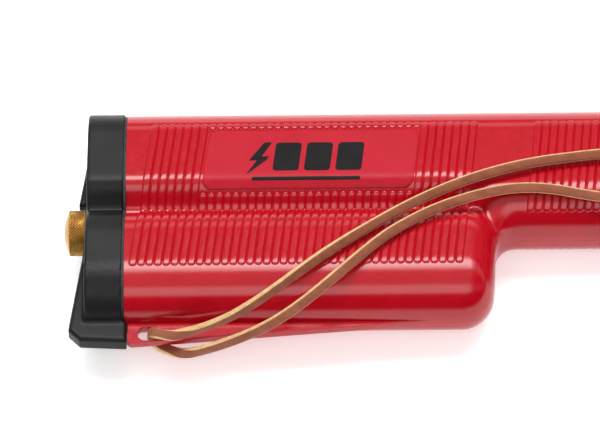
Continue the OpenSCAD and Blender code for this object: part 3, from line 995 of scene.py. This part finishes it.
skin = shell_skin()
add_shell("case_right", "case_shell_right", 1, True, skin)
add_shell("case_left", "case_shell_left", -1, False, skin)
bpy.data.objects.remove(skin)

# ---- label -----------------------------------------------------------------------------

LABEL_R = 3.2
FILM_T = 0.28
FILM_SINK = 0.1
INK_SINK = 0.02
INK_T = 0.03
BOLT_STEPS = 8


def on_case(q, y, lift):
    """Points lift above the case's surface on rib lines q at heights y."""
    q, y = np.broadcast_arrays(np.asarray(q, float), np.asarray(y, float))
    x = slanted(q, y)
    foot = np.stack([x, y, height(x, y)], axis=-1)
    flat = foot.reshape(-1, 3)
    up = unit(gradient(case_field, flat))
    return (flat + up * lift).reshape(foot.shape)


def patch(q_low, q_high, y_low, y_high, r, low, high, bevel, columns, rows):
    """Rounded patch of film on the case, from lift low to lift high, with bevelled edges."""
    def layer(grow, lift):
        """The patch's points at one lift, grown outwards all round."""
        ends = r * (1 - np.cos(np.linspace(0, math.pi / 2, 7)))
        inner = np.linspace(y_low + r, y_high - r, rows)
        y = np.concatenate([y_low + ends[:-1], inner, (y_high - ends[:-1])[::-1]])
        near = np.minimum(y - y_low, y_high - y)
        short = r - np.sqrt(np.maximum(r**2 - np.maximum(r - near, 0) ** 2, 0))
        middle = (y_low + y_high) / 2
        y = middle + (y - middle) * (1 + 2 * grow / (y_high - y_low))
        a, b = q_low + short - grow, q_high - short + grow
        t = np.linspace(0, 1, columns)
        q = a[:, None] + (b - a)[:, None] * t[None, :]
        return on_case(q, np.repeat(y[:, None], columns, axis=1), lift)

    top = layer(0.0, high)
    foot = layer(bevel, low)
    n_rows, n_cols = top.shape[:2]
    shift = n_rows * n_cols
    points = np.concatenate([top.reshape(-1, 3), foot.reshape(-1, 3)])
    faces = grid_faces(n_rows, n_cols)
    faces += [[i + shift for i in f[::-1]] for f in grid_faces(n_rows, n_cols)]
    rim = [(0, c) for c in range(n_cols - 1)]
    rim += [(row, n_cols - 1) for row in range(n_rows - 1)]
    rim += [(n_rows - 1, c) for c in range(n_cols - 1, 0, -1)]
    rim += [(row, 0) for row in range(n_rows - 1, 0, -1)]
    ids = [a * n_cols + b for a, b in rim]
    for a, b in zip(ids, ids[1:] + ids[:1]):
        faces.append([b, a, a + shift, b + shift])
    return points, faces


def add_label():
    """The label's film, which follows the case's surface and leans like the ribs."""
    points, faces = patch(*LABEL_Q, *LABEL_Y, LABEL_R, -FILM_SINK, FILM_T, 0.3, 90, 26)
    obj = new_object("label_film", points, faces)
    obj.data.materials.append(film())
    obj.data.set_sharp_from_angle(angle=math.radians(50))
    finish_piece(obj, "case", "label_film", "label_plate")


def add_print():
    """Generic print on the label: a bolt sign, three blocks and a bar."""
    low, high = FILM_T - INK_SINK, FILM_T + INK_T
    bars = [
        (57.5, 67.5, -36.2, -22.6, 1.4), (69.6, 79.6, -36.2, -22.6, 1.4),
        (81.7, 91.7, -36.2, -22.6, 1.4), (50.0, 91.7, -40.4, -39.0, 0.6),
    ]
    parts = [patch(*bar, low, high, 0.05, 24, 14) for bar in bars]
    bolt = [
        ((52.9, -22.4), (55.9, -22.4), (49.0, -29.2), (52.7, -29.2)),
        ((49.0, -29.2), (55.6, -29.2), (47.9, -31.2), (54.5, -31.2)),
        ((50.9, -31.2), (54.5, -31.2), (47.6, -38.0), (47.9, -37.9)),
    ]
    steps = BOLT_STEPS
    for a, b, c, d in np.array(bolt):
        t = np.linspace(0, 1, steps)
        left = a[None] + (c - a)[None] * t[:, None]
        right = b[None] + (d - b)[None] * t[:, None]
        q = left[:, :1] + (right - left)[:, :1] * t[None, :]
        y = left[:, 1:] + (right - left)[:, 1:] * t[None, :]
        top, foot = on_case(q, y, high).reshape(-1, 3), on_case(q, y, low).reshape(-1, 3)
        faces = [f[::-1] for f in grid_faces(steps, steps)]
        faces += [[i + steps**2 for i in f] for f in grid_faces(steps, steps)]
        parts.append((np.concatenate([top, foot]), faces))
    obj = new_object("label_print", *join_parts(parts), smooth=False)
    obj.data.materials.append(ink())
    finish_piece(obj, "case", "label_film")


add_label()
add_print()

# ---- end cap and thumb screw -----------------------------------------------------------


CAP_STEP = 0.7


def add_cap():
    """End cap, from its distance field."""
    low = (knob_min[0], KEEL_LOW - 1.0, -HALF_T - 2)
    high = (3.0, 2.5, HALF_T + 2)
    points, faces = surface(cap_field, low, high, CAP_STEP)
    obj = new_object("end_cap_moulded", settle(cap_field, points, 3), faces)
    obj.data.materials.append(RUBBERY)
    obj.data.set_sharp_from_angle(angle=math.radians(48))
    finish_piece(obj, "cap", "cap_black", "end_cap")


KNURL_PITCH = 1.15
KNURL_DEPTH = 0.32
KNURL_GROOVE = 0.62
SIDES_PER_TOOTH = 8
HEAD_BACK = -21.7
HEAD_FACE = -15.3
HEAD_EDGE_R = 0.9
DOME_R = 17.8
SHANK_R = 3.1


def add_thumb_screw():
    """Knurled, domed head on a plain shank, turned from rings of (x, radius, knurl depth)."""
    radius = (knob_max[1] - knob_min[1]) / 2
    tip, back, face, edge = knob_min[0], HEAD_BACK, HEAD_FACE, HEAD_EDGE_R
    teeth = int(round(2 * math.pi * radius / KNURL_PITCH))
    sides = teeth * SIDES_PER_TOOTH
    angle = np.arange(sides) * 2 * math.pi / sides
    rings = []
    for r in np.linspace(0.25, radius - edge, 16):
        rings.append((tip + DOME_R - math.sqrt(DOME_R**2 - r**2), r, 0.0))
    for k in range(1, 5):
        a = k / 5 * math.pi / 2
        x = back + 0.1 - 0.55 * math.cos(a)
        rings.append((x, radius - edge + edge * math.sin(a), 0.1 * k))
    for x in np.arange(back + 0.25, face - 0.45, 0.14):
        rings.append((x, radius, 1.0))
    rings += [(face - 0.3, radius - 0.1, 0.4), (face - 0.05, radius - 0.5, 0.0)]
    rings += [(face, radius - 1.2, 0.0), (face, 3.4, 0.0), (face + 0.1, SHANK_R, 0.0)]
    rings += [(0.0, SHANK_R, 0.0), (12.4, SHANK_R, 0.0), (13.0, 2.5, 0.0)]
    rows = []
    for x, r, amount in rings:
        shift = 2 * math.pi * (x - back) / KNURL_PITCH
        groove = np.zeros(sides)
        for way in (1, -1):
            wave = np.abs(((teeth * angle + way * shift) / (2 * math.pi)) % 1.0 - 0.5) * 2
            groove = np.maximum(groove, np.clip(1 - wave / KNURL_GROOVE, 0, 1))
        reach = r - KNURL_DEPTH * amount * groove
        y = SCREW_Y + reach * np.cos(angle)
        rows.append(np.stack([np.full(sides, x), y, reach * np.sin(angle)], 1))
    points = np.concatenate(rows)
    faces = [f[::-1] for f in tube_faces(len(rings), sides)]
    obj = new_object("thumb_screw_knurled", points, faces)
    obj.data.materials.append(BRASS)
    obj.data.set_sharp_from_angle(angle=math.radians(30))
    finish_piece(obj, "screw", "brass", "thumb_screw")


add_cap()
add_thumb_screw()

# ---- CAD pieces that keep their shape --------------------------------------------------


def bevelled(node, material, width, slot, body="case"):
    """A copy of a CAD node with softened edges, in place of the node."""
    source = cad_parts[node]
    obj = bpy.data.objects.new(node + "_soft", source.data.copy())
    bpy.context.collection.objects.link(obj)
    mesh = bmesh.new()
    mesh.from_mesh(obj.data)
    bmesh.ops.remove_doubles(mesh, verts=mesh.verts[:], dist=1e-6)
    bmesh.ops.dissolve_limit(
        mesh, angle_limit=math.radians(2), verts=mesh.verts[:], edges=mesh.edges[:]
    )
    mesh.to_mesh(obj.data)
    mesh.free()
    edge = obj.modifiers.new("edge", "BEVEL")
    edge.width = width * MM
    edge.segments = 3
    edge.limit_method = "ANGLE"
    edge.angle_limit = math.radians(40)
    apply_modifiers(obj)
    for polygon in obj.data.polygons:
        polygon.use_smooth = True
    obj.data.set_sharp_from_angle(angle=math.radians(35))
    obj.data.materials.clear()
    obj.data.materials.append(material)
    finish_piece(obj, body, slot, node)


def dress(material, *nodes):
    """Gives CAD nodes a better material."""
    for node in nodes:
        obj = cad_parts[node]
        obj.data.materials.clear()
        obj.data.materials.append(material)


dress(SEAL, "cap_gasket", "seal_ring")
dress(CONTACT, "cap_contact_strap", "front_contact_upper", "front_contact_lower")
dress(STEEL, "screw_retaining_ring", "trigger_spring", "switch_bracket")
dress(BRASS, "screw_insert", "output_contacts")
dress(BLACK, "battery_divider", "contact_carrier", "power_transistor", "trigger_switch")
dress(BLACK, "shaft_socket")
dress(jacket(), *["battery_%d" % i for i in range(1, 7)])
dress(core_iron(), "transformer_core")
dress(copper(), "transformer_winding")
dress(pale_moulded(), "transformer_bobbin")
dress(board(), "circuit_board")
dress(lead("sleeve_blue", (0.01, 0.03, 0.12), (0.02, 0.05, 0.17)), "capacitor")
RED_LEAD = lead("lead_red", (0.45, 0.01, 0.01), (0.55, 0.02, 0.02))
dress(RED_LEAD, "wire_battery_positive", "wire_switch")
dress(lead("lead_black", (0.01, 0.01, 0.01), (0.02, 0.02, 0.02)), "wire_battery_negative")
dress(lead("lead_yellow", (0.6, 0.45, 0.02), (0.7, 0.52, 0.04)), "wire_output_a")
dress(lead("lead_white", (0.7, 0.7, 0.66), (0.78, 0.78, 0.74)), "wire_output_b")
bevelled("trigger_bezel", BLACK, 0.5, "cap_black")
bevelled("trigger_button", SEAL, 0.9, "trigger_rubber", "trigger")
bevelled("front_ferrule", BLACK, 0.4, "cap_black")
bevelled("collar_nut", BLACK, 0.35, "cap_black", "nut")

# ---- floor and light -------------------------------------------------------------------


FLOOR_GLOW = 0.5
LIGHT_AIM = (120, -45, 0)


def add_floor():
    """Plain pale floor; a faint glow keeps the shadows on it light, as in the photo."""
    half = 3.0
    mesh = bpy.data.meshes.new("floor")
    corners = [(-half, -half, 0), (half, -half, 0), (half, half, 0), (-half, half, 0)]
    mesh.from_pydata(corners, [], [(0, 1, 2, 3)])
    floor = bpy.data.objects.new("floor", mesh)
    bpy.context.collection.objects.link(floor)
    m = Nodes("floor_white")
    m.set(specular=0.1, rough=0.9, glow=FLOOR_GLOW)
    m.color(m.ramp(m.noise(3.0), [(0.3, (0.86, 0.86, 0.86)), (0.7, (0.87, 0.87, 0.87))]))
    m.shader.inputs["Emission Color"].default_value = (1.0, 1.0, 1.0, 1.0)
    mesh.materials.append(m.material)


def add_panel(name, angle, distance, width, length, power):
    """A softbox along the object; angle is from overhead, positive towards the camera."""
    data = bpy.data.lights.new(name, "AREA")
    data.shape = "RECTANGLE"
    data.size = length
    data.size_y = width
    data.energy = power
    light = bpy.data.objects.new(name, data)
    bpy.context.collection.objects.link(light)
    tilt = math.radians(angle)
    away = Vector((0, -math.sin(tilt), math.cos(tilt)))
    light.location = Vector(metres(LIGHT_AIM)) + away * distance
    light.rotation_euler = Matrix.Rotation(tilt, 3, "X").to_euler()


# Brightness of the surroundings by angle from overhead; positive is the camera's side
STRIPS = [
    (-180, 0.8), (-91, 0.8), (-88, 1.5), (-75, 1.5), (-72, 0.15), (-62, 0.15), (-59, 1.6),
    (-49, 1.6), (-46, 0.3), (-31, 0.3), (-28, 6.0), (-11, 6.0), (-7, 0.7), (24, 0.7),
    (27, 2.6), (44, 2.6), (48, 0.05), (86, 0.05), (91, 1.0), (180, 1.0),
]
BRIGHTEST = 8.0
STRIP_ENDS = (0.35, 0.65)
END_LEVEL = 0.15


def add_world():
    """Soft strips of studio light along the object, seen by their angle from overhead."""
    world = bpy.data.worlds.new("studio")
    bpy.context.scene.world = world
    world.use_nodes = True
    tree = world.node_tree
    tree.nodes.clear()
    link = tree.links.new

    def math_node(operation, *inputs):
        node = tree.nodes.new("ShaderNodeMath")
        node.operation = operation
        for socket, value in zip(node.inputs, inputs):
            if isinstance(value, float):
                socket.default_value = value
            else:
                link(value, socket)
        return node.outputs[0]

    def spread(value, low, high, to_low=0.0, to_high=1.0):
        node = tree.nodes.new("ShaderNodeMapRange")
        for name, number in (
            ("From Min", low), ("From Max", high), ("To Min", to_low), ("To Max", to_high)
        ):
            node.inputs[name].default_value = number
        link(value, node.inputs["Value"])
        return node.outputs["Result"]

    coords = tree.nodes.new("ShaderNodeTexCoord")
    split = tree.nodes.new("ShaderNodeSeparateXYZ")
    link(coords.outputs["Generated"], split.inputs[0])
    towards = math_node("MULTIPLY", split.outputs["Y"], -1.0)
    angle = math_node("ARCTAN2", towards, split.outputs["Z"])
    ramp = tree.nodes.new("ShaderNodeValToRGB")
    link(spread(angle, -math.pi, math.pi), ramp.inputs["Fac"])
    elements = ramp.color_ramp.elements
    while len(elements) < len(STRIPS):
        elements.new(0.5)
    for element, (degrees, level) in zip(elements, STRIPS):
        element.position = (degrees + 180) / 360
        element.color = (level / BRIGHTEST, level / BRIGHTEST, level / BRIGHTEST, 1)
    sideways = math_node("ABSOLUTE", split.outputs["X"])
    ends = spread(sideways, *STRIP_ENDS, 1.0, END_LEVEL)
    back = tree.nodes.new("ShaderNodeBackground")
    out = tree.nodes.new("ShaderNodeOutputWorld")
    link(ramp.outputs["Color"], back.inputs["Color"])
    link(math_node("MULTIPLY", ends, BRIGHTEST), back.inputs["Strength"])
    link(back.outputs[0], out.inputs["Surface"])


add_floor()
add_world()
add_panel("softbox_overhead", -22, 1.6, 0.5, 1.4, 8)
bpy.context.scene.view_settings.view_transform = "Standard"
